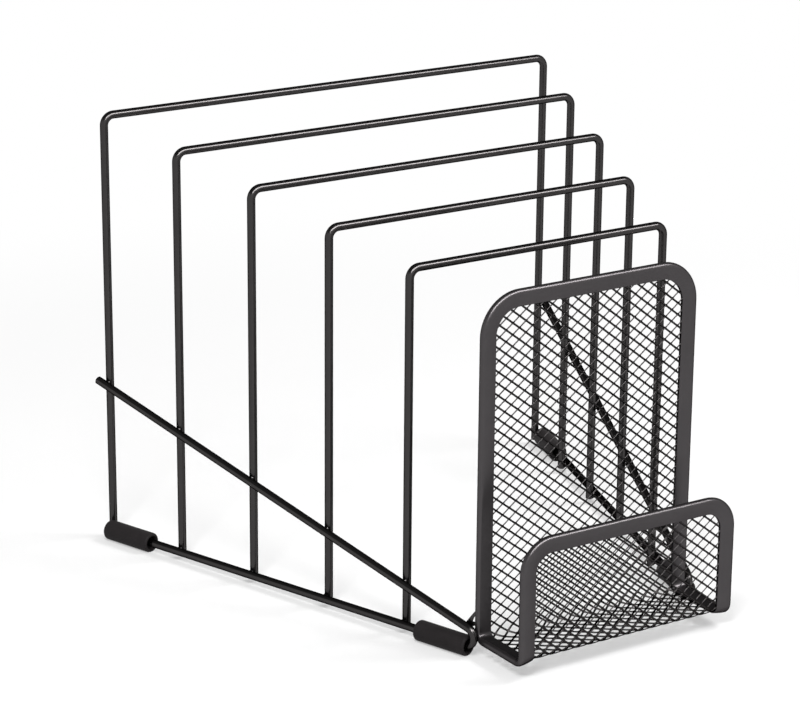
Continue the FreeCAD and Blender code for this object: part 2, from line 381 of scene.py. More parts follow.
@dataclass(frozen=True)
class PowderCoat:
    """Baked powder paint on steel: fine orange peel, soft mottling and a breath of dust on top."""

    name: str
    deep: Colour
    pale: Colour
    dust: Colour = (0.12, 0.12, 0.12)
    dust_share: float = 0.05
    gloss: float = 0.21
    gloss_spread: float = 0.08
    body_share: float = 1.0
    edge_tint: Colour = (0.04, 0.04, 0.04)
    peel_scale: float = 1500.0
    peel_height: float = 0.00002
    peel_strength: float = 0.2
    mottle_scale: float = 90.0
    grain_scale: float = 3300.0
    grain_share: float = 0.3
    grain_gloss: float = 0.04
    grain_peel: float = 0.25
    dust_falloff: float = 3.0

    def material(self) -> bpy.types.Material:
        """Build the paint.

        Colour wavers between deep and pale by a slow noise, with dust where faces look up; roughness
        follows the same noise; the peel is a fast noise as bump. All three take in some fine grain.

        Returns:
            The finished material.
        """
        graph = Graph(bpy.data.materials.new(self.name))
        place = graph.place()
        mottle = graph.noise(place, self.mottle_scale, detail=3.0, roughness=0.55)
        grain = graph.noise(place, self.grain_scale, detail=2.0, roughness=0.7)
        paint = graph.blend_colours(mottle * (1 - self.grain_share) + grain * self.grain_share,
                                    self.deep, self.pale)
        dusting = graph.facing_up().power(self.dust_falloff) * grain * self.dust_share
        peel = graph.noise(place, self.peel_scale, detail=2.0, roughness=0.5) + grain * self.grain_peel
        return graph.finish(graph.node("ShaderNodeBsdfPrincipled", None, {
            "Base Color": graph.blend_colours(dusting, paint, self.dust),
            "Roughness": (mottle - 0.5) * self.gloss_spread + self.gloss + grain * self.grain_gloss,
            "Metallic": self.body_share,
            "Specular IOR Level": 0.0,
            "Specular Tint": (*self.edge_tint, 1.0),
            "Normal": graph.bump(peel, self.peel_strength, self.peel_height)}))


@dataclass(frozen=True)
class SleeveRubber:
    """Black rubber: matte, with a cloudy bloom, dust on top and a fine grain."""

    name: str = "sleeve_rubber"
    deep: Colour = (0.010, 0.0085, 0.009)
    bloom: Colour = (0.030, 0.026, 0.027)
    roughness: float = 0.60
    roughness_spread: float = 0.16
    specular: float = 0.12
    cloud_scale: float = 160.0
    cloud_share: float = 0.6
    grain_scale: float = 2600.0
    grain_share: float = 0.5
    settled_share: float = 0.25
    clean_share: float = 0.3
    grain_height: float = 0.00004
    grain_strength: float = 0.5

    def material(self) -> bpy.types.Material:
        """Build the rubber.

        Bloom spreads by a slow noise with a share of fine grain, and more on faces that look up; the
        grain is also its bump.

        Returns:
            The finished material.
        """
        graph = Graph(bpy.data.materials.new(self.name))
        place = graph.place()
        cloud = graph.noise(place, self.cloud_scale, detail=4.0, roughness=0.6)
        grain = graph.noise(place, self.grain_scale, detail=2.0, roughness=0.6)
        share = (cloud * self.cloud_share + grain * self.grain_share
                 + graph.facing_up() * self.settled_share - self.clean_share).at_least(0.0)
        return graph.finish(graph.node("ShaderNodeBsdfPrincipled", None, {
            "Base Color": graph.blend_colours(share, self.deep, self.bloom),
            "Roughness": cloud * self.roughness_spread + self.roughness,
            "Specular IOR Level": self.specular,
            "Normal": graph.bump(grain + cloud * 0.5, self.grain_strength, self.grain_height)}))


@dataclass(frozen=True)
class StudioFloor:
    """A plain white sweep that burns out to white but keeps the rack's soft shadow."""

    name: str = "studio_floor"
    colour: Colour = (0.98, 0.98, 0.98)
    glow_share: float = 0.38
    glow_start: float = 0.25
    glow_reach: float = 0.7

    def material(self) -> bpy.types.Material:
        """Build the floor: for camera, glossy and transmission rays, plain white over a diffuse base.

        The white's share grows from glow_share, at glow_start from the rack's middle, to all of it at
        glow_reach.

        Returns:
            The finished material.
        """
        graph = Graph(bpy.data.materials.new(self.name))
        seen = graph.ray("Camera", "Glossy", "Transmission")
        away = graph.signal("ShaderNodeVectorMath", {"operation": "LENGTH"}, {0: graph.place()}, "Value")
        share = graph.signal("ShaderNodeMapRange", {"interpolation_type": "SMOOTHSTEP"}, {
            "Value": away, "From Min": self.glow_start, "From Max": self.glow_reach,
            "To Min": self.glow_share, "To Max": 1.0})
        matte = graph.node("ShaderNodeBsdfDiffuse", None, {"Color": (*self.colour, 1.0)})
        glow = graph.node("ShaderNodeEmission", None, {"Color": WHITE, "Strength": 1.0})
        mixed = graph.node("ShaderNodeMixShader", None,
                           {0: seen * share, 1: matte.outputs[0], 2: glow.outputs[0]})
        return graph.finish(mixed)


class Finish(Enum):
    """The rack's finishes, each with the record's slot that it belongs to."""

    WIRE = "wire_coat"
    RIM = "rim_coat"
    MESH = "mesh_coat"
    RUBBER = "sleeve_rubber"


class FinishSet:
    """Makes each finish once and hands it out."""

    recipes = {
        Finish.WIRE: PowderCoat("wire_powder_coat", deep=(0.040, 0.038, 0.038), pale=(0.056, 0.053, 0.053),
                                body_share=0.98),
        Finish.RIM: PowderCoat("rim_powder_coat", deep=(0.058, 0.054, 0.056), pale=(0.075, 0.070, 0.072),
                               gloss=0.30, dust_share=0.03, body_share=0.84),
        Finish.MESH: PowderCoat("mesh_powder_coat", deep=(0.030, 0.028, 0.028), pale=(0.046, 0.043, 0.043),
                                gloss=0.26, dust_share=0.0),
        Finish.RUBBER: SleeveRubber(),
    }

    def __init__(self) -> None:
        """Build every finish."""
        self.materials = {finish: recipe.material() for finish, recipe in self.recipes.items()}

    def __getitem__(self, finish: Finish) -> bpy.types.Material:
        """The material of a finish."""
        return self.materials[finish]


# Objects

def linked(name: str, data: bpy.types.ID) -> bpy.types.Object:
    """Make an object of some data and put it into the scene.

    Args:
        name: the object's name.
        data: its mesh, camera or lamp.

    Returns:
        The object.
    """
    made = bpy.data.objects.new(name, data)
    bpy.context.scene.collection.objects.link(made)
    return made


def make_piece(name: str, surfaces: Sequence[Surface], finishes: FinishSet, finish: Finish,
               replaces: Sequence[str], sharp_angle: float = 35.0) -> None:
    """Put skins into one mesh object, dress it and hang it on the rack's body.

    Args:
        name: the piece's name.
        surfaces: the skins that make it up.
        finishes: the rack's materials.
        finish: which of them the piece has.
        replaces: CAD nodes that it stands for.
        sharp_angle: edges that turn by more than this many degrees stay sharp.
    """
    starts = np.cumsum([0] + [len(s.points) for s in surfaces])
    points = np.concatenate([s.points for s in surfaces])
    quads = np.concatenate([s.quads + start for s, start in zip(surfaces, starts)])
    caps = [tuple(int(i + start) for i in cap) for s, start in zip(surfaces, starts) for cap in s.caps]
    mesh = bpy.data.meshes.new(name)
    mesh.from_pydata(points.tolist(), [], quads.tolist() + caps)
    mesh.validate()
    mesh.shade_smooth()
    mesh.set_sharp_from_angle(angle=math.radians(sharp_angle))
    mesh.materials.append(finishes[finish])
    piece = linked(name, mesh)
    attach(piece, BODY)
    if replaces:
        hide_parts(*replaces)
    LOG.info("%s: %d points, %d faces", name, len(mesh.vertices), len(mesh.polygons))


# Shared sizes

class Side(Enum):
    """The two sides of the rack, as the sign of X."""

    LEFT = -1
    RIGHT = 1

    @property
    def word(self) -> str:
        """The side's name in a node's name."""
        return self.name.lower()


@dataclass(frozen=True)
class Layout:
    """Sizes that the sub-assemblies share, in metres."""

    wire_diameter: float = 0.004
    weld_bite: float = 0.00015
    rear_width: float = 0.262
    width_step: float = 0.0295
    pitch: float = 0.04525
    pocket_reach: float = 0.0403
    rim_thickness: float = 0.0036
    rail_height: float = 0.00475
    hairpin_radius: float = 0.0045
    brace_height: float = 0.0773
    brace_tail: float = 0.0035
    divider_names: tuple[str, ...] = ("rear", "second", "middle", "fourth", "front")

    @property
    def wire_radius(self) -> float:
        """Half the wire's diameter."""
        return self.wire_diameter / 2

    @property
    def splay(self) -> float:
        """Angle between a side frame's plane and the YZ plane."""
        return math.atan(self.width_step / 2 / self.pitch)

    @property
    def side_offset(self) -> float:
        """From a leg's axis to the side wire's axis, along X."""
        return (self.wire_diameter - self.weld_bite) / math.cos(self.splay)

    @property
    def back_run(self) -> float:
        """From the rear divider to the pocket's back panel, along Y."""
        return (len(self.divider_names) - 1) * self.pitch + self.pocket_reach

    @property
    def hairpin_tip(self) -> float:
        """How far along the rail the hairpin's axis reaches."""
        return (self.back_run / math.cos(self.splay)
                + (self.wire_radius + self.rim_thickness / 2) * math.tan(self.splay))

    @property
    def brace_angle(self) -> float:
        """The brace's climb, tangent to the hairpin."""
        centre, rise = self.hairpin_tip - self.hairpin_radius, self.brace_height - self.hairpin_radius
        return math.atan2(rise, centre) - math.asin(self.hairpin_radius / math.hypot(centre, rise))

    @property
    def rear_y(self) -> float:
        """Y of the rear divider's plane, from its CAD node."""
        low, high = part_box("divider_rear")
        return (low.y + high.y) / 2

    def side_point(self, side: Side, along: float, height: float, inward: float = 0.0) -> np.ndarray:
        """A point of a side frame's plane.

        Args:
            side: left or right.
            along: distance along the rail from the rear leg.
            height: height above the rail's axis.
            inward: distance from the plane towards the rack's middle.

        Returns:
            The point, in metres.
        """
        sine, cosine = math.sin(self.splay), math.cos(self.splay)
        x = self.rear_width / 2 + self.side_offset - along * sine - inward * cosine
        y = self.rear_y - along * cosine + inward * sine
        return np.array([side.value * x, y, self.rail_height + height])

    def side_normal(self, side: Side) -> np.ndarray:
        """Unit normal of a side frame's plane, towards the rack's middle."""
        return self.side_point(side, 0.0, 0.0, 1.0) - self.side_point(side, 0.0, 0.0)

    def leg_run(self, index: int) -> float:
        """Distance along the rail to a divider's leg."""
        return index * self.pitch / math.cos(self.splay)

    def brace_rise(self, along: float) -> float:
        """Height of the brace's axis above the rail's, at a distance along the rail."""
        return self.brace_height - along * math.tan(self.brace_angle)


# Sub-assemblies

@dataclass
class Dividers:
    """Five inverted U loops of round wire."""

    layout: Layout
    corner_radius: float = 0.005
    end_bevel: float = 0.0003
    bend_points: int = 18
    run_points: int = 12

    def loop(self, node: str) -> Surface:
        """One loop, sized by its CAD node: leg, quarter bend, top bar, quarter bend, leg.

        Args:
            node: the CAD node that the loop stands for.

        Returns:
            The loop's skin.
        """
        low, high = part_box(node)
        wire, r, points = self.layout.wire_radius, self.corner_radius, self.run_points
        half, top, y = high.x - wire, high.z - wire, (low.y + high.y) / 2
        corners = ((r - half, (-half, y, top - r), UP), (half - r, (half - r, y, top), RIGHT))
        left, right = (turned(np.array([x, y, top - r]), np.array(start), heading, math.pi / 2,
                              self.bend_points) for x, start, heading in corners)
        foot = np.array([half, y, low.z])
        axis = joined([straight(foot * MIRROR, left.points[0], points), left,
                       straight(left.points[-1], right.points[0], points), right,
                       straight(right.points[-1], foot, points)])
        return round_wire(axis, BACK, wire, self.end_bevel)

    def build(self, finishes: FinishSet) -> None:
        """Make and dress the five loops.

        Args:
            finishes: the rack's materials.
        """
        for name in self.layout.divider_names:
            node = "divider_" + name
            make_piece(node + "_wire", [self.loop(node)], finishes, Finish.WIRE, [node])


@dataclass
class SideFrames:
    """On each side a base rail that turns back in a tight bend and climbs as a brace."""

    layout: Layout
    end_bevel: float = 0.0003
    bend_points: int = 26
    run_points: int = 24

    def wire(self, side: Side) -> Surface:
        """One side's wire: rail, hairpin bend, brace.

        Args:
            side: left or right.

        Returns:
            The wire's skin.
        """
        plan = self.layout
        centre = plan.hairpin_tip - plan.hairpin_radius
        start = plan.side_point(side, 0.0, 0.0)
        foot = plan.side_point(side, centre, 0.0)
        hairpin = turned(plan.side_point(side, centre, plan.hairpin_radius), foot, unit(foot - start),
                         math.pi - plan.brace_angle, self.bend_points)
        rise = plan.brace_tail * math.tan(plan.brace_angle)
        end = plan.side_point(side, -plan.brace_tail, plan.brace_height + rise)
        axis = joined([straight(start, foot, self.run_points), hairpin,
                       straight(hairpin.points[-1], end, self.run_points)])
        return round_wire(axis, plan.side_normal(side), plan.wire_radius, self.end_bevel)

    def build(self, finishes: FinishSet) -> None:
        """Make and dress both wires.

        Args:
            finishes: the rack's materials.
        """
        for side in Side:
            node = "side_frame_" + side.word
            make_piece(node + "_wire", [self.wire(side)], finishes, Finish.WIRE, [node])


@dataclass
class WeldNuggets:
    """Small lens-shaped welds where each leg crosses the rail and the brace."""

    layout: Layout
    thickness: float = 0.00125
    spread: float = 0.0019
    waver: float = 0.12
    pole_angle: float = 0.46 * math.pi
    rings: int = 9
    ring_points: int = 16
    divider_phase: float = 1.7
    height_phase: float = 90.0
    sharp_angle: float = 60.0

    def nugget(self, centre: np.ndarray, normal: np.ndarray, phase: float) -> Surface:
        """One weld: an ellipsoid, thin along normal, whose rim wavers a little.

        Point (b, a) = centre + thickness sin(b) normal + spread (1 + waver sin(3a + phase)) cos(b)
        (cos(a) sideways + sin(a) up), with b from pole to pole.

        Args:
            centre: middle of the weld.
            normal: unit vector from one wire to the other.
            phase: turns the waver.

        Returns:
            The weld's skin.
        """
        sideways = unit(np.cross(UP, normal))
        a = np.linspace(0.0, 2 * np.pi, self.ring_points, endpoint=False)[None, :, None]
        b = np.linspace(-self.pole_angle, self.pole_angle, self.rings)[:, None, None]
        reach = self.spread * (1 + self.waver * np.sin(3 * a + phase)) * np.cos(b)
        return ring_skin(centre + self.thickness * np.sin(b) * normal
                         + reach * (np.cos(a) * sideways + np.sin(a) * UP))

    def build(self, finishes: FinishSet) -> None:
        """Make and dress all the welds as one piece.

        Args:
            finishes: the rack's materials.
        """
        plan = self.layout
        inward = (plan.wire_diameter - plan.weld_bite) / 2
        welds = []
        for side in Side:
            normal = plan.side_normal(side)
            for index in range(len(plan.divider_names)):
                along = plan.leg_run(index) + plan.side_offset * math.sin(plan.splay)
                for height in (0.0, plan.brace_rise(along)):
                    centre = plan.side_point(side, along, height, inward)
                    phase = self.divider_phase * index + height * self.height_phase
                    welds.append(self.nugget(centre, normal, phase))
        make_piece("weld_nuggets", welds, finishes, Finish.WIRE, [], self.sharp_angle)


@dataclass
class FootSleeves:
    """Thick rubber sleeves on the rails, with flared mouths, a slit and a pressed flat."""

    layout: Layout
    diameter: float = 0.010
    length: float = 0.0295
    front_reach: float = 0.0019
    edge_round: float = 0.0012
    bore_diameter: float = 0.0041
    mouth_diameter: float = 0.0070
    mouth_depth: float = 0.0030
    mouth_ease: float = 0.0003
    slit_inner: float = 0.0003
    slit_outer: float = 0.0009
    slit_angle: float = math.radians(15.0)
    leg_gap: float = 0.00025
    ring_points: int = 64
    arc_points: int = 7
    wall_points: int = 8
    sharp_angle: float = 50.0

    def profile(self) -> np.ndarray:
        """The wall's outline as distance along the axis and distance from it, once round.

        Returns:
            Points of the outline, two numbers each.
        """
        outer, r = self.diameter / 2, self.edge_round
        mouth, bore, ease = self.mouth_diameter / 2, self.bore_diameter / 2, self.mouth_ease
        arc = np.linspace(0.0, np.pi / 2, self.arc_points)
        near = np.stack([r - r * np.cos(arc), outer - r + r * np.sin(arc)], axis=1)
        far = np.stack([self.length - r + r * np.sin(arc), outer - r + r * np.cos(arc)], axis=1)
        body = np.linspace(near[-1], far[0], self.wall_points)[1:-1]
        inside = np.array([[0.0, mouth + ease], [ease, mouth], [self.mouth_depth, mouth - ease],
                           [self.mouth_depth + ease, bore]])
        return np.concatenate([near, body, far, inside * [-1, 1] + [self.length, 0], inside[::-1]])

    def sleeve(self, side: Side, begin: float) -> Surface:
        """One sleeve: its outline carried round the axis from one wall of the slit to the other.

        Point (a, k) = axis point at along(k) + radius(k) (cos(a) outwards + sin(a) up);
        a runs from the slit's one wall to the other, where each wall stands half the slit's width off
        the slit's middle, a width that grows from bore to skin. What would reach below the table is
        pressed flat on it.

        Args:
            side: left or right.
            begin: where the sleeve starts along the rail.

        Returns:
            The sleeve's skin.
        """
        plan = self.layout
        start = plan.side_point(side, begin, 0.0)
        axis = plan.side_point(side, begin + 1.0, 0.0) - start
        outwards = -plan.side_normal(side)
        along, radius = self.profile().T
        bore = self.bore_diameter / 2
        share = (radius - bore) / (self.diameter / 2 - bore)
        half = (self.slit_inner + share * (self.slit_outer - self.slit_inner)) / 2
        gap = np.arcsin(half / radius)
        middle = -math.pi / 2 + self.slit_angle
        sweep = np.linspace(0.0, 1.0, self.ring_points)[:, None]
        a = middle + gap + sweep * (2 * np.pi - 2 * gap)
        skin = (start + along[None, :, None] * axis
                + radius[None, :, None] * (np.cos(a)[..., None] * outwards + np.sin(a)[..., None] * UP))
        skin[..., 2] = np.maximum(skin[..., 2], 0.0)
        return ring_skin(skin)

    def build(self, finishes: FinishSet) -> None:
        """Make and dress the four sleeves.

        Args:
            finishes: the rack's materials.
        """
        plan = self.layout
        begins = {"rear": plan.wire_radius + self.leg_gap,
                  "front": plan.hairpin_tip - plan.hairpin_radius + self.front_reach - self.length}
        for side in Side:
            for place, begin in begins.items():
                node = "foot_sleeve_" + place + "_" + side.word
                make_piece(node + "_rubber", [self.sleeve(side, begin)], finishes, Finish.RUBBER,
                           [node], self.sharp_angle)


@dataclass
class Pocket:
    """The pocket: a bent sheet of expanded metal held in a folded rim."""

    layout: Layout
    back_corner: float = 0.0205
    lip_corner: float = 0.0165
    bend_outside: float = 0.006
    rim_width: float = 0.0082
    channel_depth: float = 0.0056
    channel_half: float = 0.00052
    rim_bead: float = 0.0018
    rim_tip_half: float = 0.00085
    rim_edge_round: float = 0.00025
    flange_draw: float = 1.6
    corner_points: int = 16
    bead_points: int = 15
    flange_points: int = 8
    tip_points: int = 4
    sheet_clearance: float = 0.0002
    cell_width: float = 0.0072
    cell_height: float = 0.0055
    strand_width: float = 0.00114
    strand_thickness: float = 0.00050
    strand_round: float = 0.00012
    strand_lean: float = math.radians(-38.0)
    strand_step: float = 0.0011
    strand_scan: int = 2400
    fewest_hits: int = 12
    level_ahead: float = 0.010
    level_end: float = 0.006
    lean_return: float = 0.008
    strand_sharp_angle: float = 60.0
    knuckle_length: float = 0.0017
    knuckle_width: float = 0.0015
    knuckle_shoulder: float = 0.45
    knuckle_swell: float = 1.08

    def __post_init__(self) -> None:
        """Work out the panels' places, and the flat sheet's stretches, from the CAD nodes.

        The stretches are the back above its bend, the rear bend, the floor and the front bend.
        """
        low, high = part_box("pocket_rim")
        half = self.layout.rim_thickness / 2
        self.half_width = high.x
        self.back_y, self.lip_y = high.y - half, low.y + half
        self.back_top = high.z
        self.lip_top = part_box("mesh_lip_inner")[1].z + self.rim_width - self.channel_depth
        self.bend = self.bend_outside - half
        self.bend_z = low.z + half + self.bend
        turn = self.bend * math.pi / 2
        self.stretches = np.array([self.back_top - self.bend_z, turn,
                                   self.back_y - self.lip_y - 2 * self.bend, turn])
        self.sheet_length = self.stretches.sum() + self.lip_top - self.bend_z
        self.pattern_middle = self.back_top - self.bend_z + turn / 2

    def rim_line(self) -> tuple[np.ndarray, np.ndarray, np.ndarray]:
        """The rim's outer edge, once round, with its inward and across directions.

        The right half runs from the back panel's top over its corner, down, round the rear bend,
        along the floor, round the front bend, up and over the lip's corner; the left half is its
        mirror image, backwards.

        Returns:
            Edge points, unit vectors into the panel, and unit vectors to the pocket's inside.
        """
        quarter = np.linspace(0.0, np.pi / 2, self.corner_points)[:, None]
        sine, cosine, fixed = np.sin(quarter), np.cos(quarter), np.ones_like(quarter)
        over_back, over_lip = sine * RIGHT + cosine * UP, cosine * RIGHT + sine * UP
        round_rear, round_front = cosine * BACK - sine * UP, -sine * BACK - cosine * UP
        half, bend, back, lip = self.half_width, self.bend, self.back_corner, self.lip_corner
        bends = (
            ((half - back, self.back_y, self.back_top - back), back, over_back, -over_back, -BACK * fixed),
            ((half, self.back_y - bend, self.bend_z), bend, round_rear, -RIGHT * fixed, -round_rear),
            ((half, self.lip_y + bend, self.bend_z), bend, round_front, -RIGHT * fixed, -round_front),
            ((half - lip, self.lip_y, self.lip_top - lip), lip, over_lip, -over_lip, BACK * fixed))
        edge = [np.array(centre) + radius * spokes for centre, radius, spokes, _, _ in bends]
        right = [np.concatenate(lines) for lines in (edge, [b[3] for b in bends], [b[4] for b in bends])]
        edge, into, inside = (np.concatenate([line, line[::-1] * MIRROR]) for line in right)
        return edge, into, inside

    def rim_outline(self) -> np.ndarray:
        """The folded rim's section: depth from the outer edge and distance across, once round.

        Half an ellipse closes the outer edge; from its crown to the tip each flange draws in by
        (crown - tip) share^flange_draw and ends in a small round, with the channel between them.

        Returns:
            Points of the section, two numbers each.
        """
        half, r, bead = self.layout.rim_thickness / 2, self.rim_edge_round, self.rim_bead
        cap = np.linspace(-np.pi / 2, np.pi / 2, self.bead_points)
        outer = np.stack([bead - bead * np.cos(cap), half * np.sin(cap)], axis=1)
        share = np.linspace(0.0, 1.0, self.flange_points)[1:]
        face = np.stack([bead + share * (self.rim_width - r - bead),
                         half - (half - self.rim_tip_half) * share ** self.flange_draw], axis=1)
        turn = np.linspace(0.0, np.pi / 2, self.tip_points)[1:]
        tip = np.stack([self.rim_width - r + r * np.sin(turn),
                        self.rim_tip_half - r + r * np.cos(turn)], axis=1)
        deep = self.rim_width - self.channel_depth
        channel = np.array([[self.rim_width, self.channel_half], [deep, self.channel_half]])
        upper = np.concatenate([face, tip, channel])
        return np.concatenate([outer, upper, upper[::-1] * [1, -1]])

    def rim(self) -> Surface:
        """The rim: point (s, k) = edge(s) + depth(k) into(s) + across(k) inside(s), closed both ways.

        Returns:
            The rim's skin.
        """
        edge, into, inside = (line[:, None, :] for line in self.rim_line())
        depth, across = self.rim_outline().T[:, None, :, None]
        return ring_skin(edge + depth * into + across * inside, closed=True)

    def sheet_point(self, flat: np.ndarray) -> np.ndarray:
        """Carry points of the flat sheet onto the bent one.

        u runs across, v down the back from its top edge, round the rear bend, forward along the
        floor, round the front bend and up the lip, and w stands off towards the pocket's inside.

        Args:
            flat: u, v and w of each point, along the last axis.

        Returns:
            The points in space.
        """
        u, v, w = np.moveaxis(flat, -1, 0)
        long, ends = self.stretches, np.cumsum(self.stretches)
        down = np.minimum(v, ends[0])
        rear = np.clip(v - ends[0], 0.0, long[1]) / self.bend
        ahead = np.clip(v - ends[1], 0.0, long[2])
        front = np.clip(v - ends[2], 0.0, long[3]) / self.bend
        up = np.maximum(v - ends[3], 0.0)
        y = self.back_y - self.bend * (1 - np.cos(rear)) - ahead - self.bend * np.sin(front)
        z = self.back_top - down - self.bend * np.sin(rear) + self.bend * (1 - np.cos(front)) + up
        return np.stack([u, y - w * np.cos(rear + front), z + w * np.sin(rear + front)], axis=-1)

    def inside_rim(self, u: np.ndarray, v: np.ndarray) -> np.ndarray:
        """Which points of the flat sheet lie within its outline, tucked into the rim's channel.

        Args:
            u: distances across.
            v: distances along the sheet.

        Returns:
            True where the sheet has metal.
        """
        inset = self.rim_width - self.channel_depth + self.sheet_clearance
        length = self.sheet_length
        reach = self.half_width - inset
        within = (np.abs(u) <= reach) & (v >= inset) & (v <= length - inset)
        for radius, distance in ((self.back_corner, v), (self.lip_corner, length - v)):
            small = radius - inset
            du, dv = np.abs(u) - (reach - small), (inset + small) - distance
            within &= ~((du > 0) & (dv > 0) & (np.hypot(du, dv) > small))
        return within

    def strand_lines(self, slope: float) -> tuple[np.ndarray, np.ndarray]:
        """Every strand of one family as points on the flat sheet.

        A strand is the line u = u0 + slope (v - v0) through a whole number of cells, cut where it
        leaves the sheet's outline.

        Args:
            slope: distance across gained per distance along.

        Returns:
            u and v of each strand's points, one strand a row.
        """
        length, middle = self.sheet_length, self.pattern_middle
        reach = self.half_width + abs(slope) * length
        count = int(reach / self.cell_width)
        u0 = np.arange(-count, count + 1)[:, None] * self.cell_width
        v = np.linspace(0.0, length, self.strand_scan)[None, :] + np.zeros_like(u0)
        u = u0 + slope * (v - middle)
        within = self.inside_rim(u, v)
        kept = within.sum(axis=1) > self.fewest_hits
        v, u0, within = v[kept], u0[kept], within[kept]
        rows = np.arange(len(v))
        first = v[rows, within.argmax(axis=1)]
        last = v[rows, within.shape[1] - 1 - within[:, ::-1].argmax(axis=1)]
        samples = int(length / self.strand_step)
        along = first[:, None] + (last - first)[:, None] * np.linspace(0.0, 1.0, samples)[None, :]
        return u0 + slope * (along - middle), along

    def lean_at(self, v: np.ndarray) -> np.ndarray:
        """How far the metal leans: fully on back and lip, and not at all over the floor.

        It drops in a straight line over level_ahead before the floor, and comes back from level_end
        before the lip's straight part to lean_return up it.

        Args:
            v: distances along the sheet.

        Returns:
            Angles in radians.
        """
        floor_start = self.stretches[:2].sum()
        lip_start = self.stretches.sum()
        places = [floor_start - self.level_ahead, floor_start,
                  lip_start - self.level_end, lip_start + self.lean_return]
        return self.strand_lean * np.interp(v, places, [1.0, 0.0, 0.0, 1.0])

    def strands(self, slope: float) -> list[Surface]:
        """One family of strands: flat bars with eased edges, whose width leans out of the sheet.

        A bar's section is a rectangle, width by thickness, with its corners cut off; in sheet
        coordinates its width runs along (0, cos lean, sin lean) and its thickness along heading x width.

        Args:
            slope: distance across gained per distance along.

        Returns:
            The skins of the strands, one each.
        """
        u, v = self.strand_lines(slope)
        heading = unit(np.array([slope, 1.0, 0.0]))
        w, t, cut = self.strand_width / 2, self.strand_thickness / 2, self.strand_round
        quarter = np.array([[w, t - cut], [w - cut, t]])
        section = np.concatenate([quarter, quarter[::-1] * [-1, 1], -quarter, quarter[::-1] * [1, -1]])
        wide, thick = section.T[:, None, :, None]
        skins = []
        for strand_u, strand_v in zip(u, v):
            count = max(int((strand_v[-1] - strand_v[0]) / self.strand_step), 2)
            pick = np.linspace(0, len(strand_v) - 1, count).round().astype(int)
            flat = np.stack([strand_u[pick], strand_v[pick], np.zeros(count)], axis=1)
            lean = self.lean_at(flat[:, 1])
            width = np.stack([0 * lean, -np.cos(lean), -np.sin(lean)], axis=1)
            face = unit(np.cross(heading, width))
            rings = flat[:, None, :] + wide * width[:, None, :] + thick * face[:, None, :]
            skins.append(ring_skin(self.sheet_point(rings)))
        return skins

    def knuckles(self) -> Surface:
        """A small leaning six-sided block at every crossing of two strands.

        Crossings lie at whole cells across and along, and again half a cell off in both.

        Returns:
            All the blocks as one skin.
        """
        wide = int(self.half_width / self.cell_width) + 1
        tall = int(self.sheet_length / self.cell_height) + 1
        across, along = np.meshgrid(np.arange(-wide, wide + 1), np.arange(-tall, tall + 1), indexing="ij")
        u = np.concatenate([across.ravel(), across.ravel() + 0.5]) * self.cell_width
        v = self.pattern_middle + np.concatenate([along.ravel(), along.ravel() + 0.5]) * self.cell_height
        kept = self.inside_rim(u, v)
        u, v = u[kept], v[kept]
        lean = self.lean_at(v)[:, None]
        tip, side = self.knuckle_length / 2, self.knuckle_width / 2
        thick = self.strand_thickness / 2 * self.knuckle_swell
        shoulder = self.knuckle_shoulder * tip
        ring = np.array([[-tip, 0.0], [-shoulder, side], [shoulder, side],
                         [tip, 0.0], [shoulder, -side], [-shoulder, -side]])
        x, y = np.tile(ring, (2, 1)).T
        t = np.repeat([-thick, thick], len(ring))
        block = np.stack([x + 0 * lean, y * np.cos(lean) - t * np.sin(lean),
                          y * np.sin(lean) + t * np.cos(lean)], axis=-1)
        skin = self.sheet_point(np.stack([u, v, np.zeros_like(u)], axis=1)[:, None, :] + block)
        walls = np.array([[k, (k + 1) % 6, 6 + (k + 1) % 6, 6 + k] for k in range(6)])
        ends = np.array([[0, 3, 2, 1], [0, 5, 4, 3], [6, 7, 8, 9], [6, 9, 10, 11]])
        quads = np.concatenate([walls, ends]) + np.arange(len(u))[:, None, None] * len(t)
        return outward(Surface(skin.reshape(-1, 3), quads.reshape(-1, 4)))

    def build(self, finishes: FinishSet) -> None:
        """Make and dress the rim, the strands and the knuckles.

        Args:
            finishes: the rack's materials.
        """
        make_piece("pocket_folded_rim", [self.rim()], finishes, Finish.RIM, ["pocket_rim"])
        slope = self.cell_width / self.cell_height
        sheet = ["mesh_" + part + "_" + layer
                 for part in ("back", "floor", "lip") for layer in ("inner", "outer")]
        for name, turn in (("mesh_strands_one_way", slope), ("mesh_strands_other_way", -slope)):
            make_piece(name, self.strands(turn), finishes, Finish.MESH, sheet, self.strand_sharp_angle)
        make_piece("mesh_knuckles", [self.knuckles()], finishes, Finish.MESH, sheet)


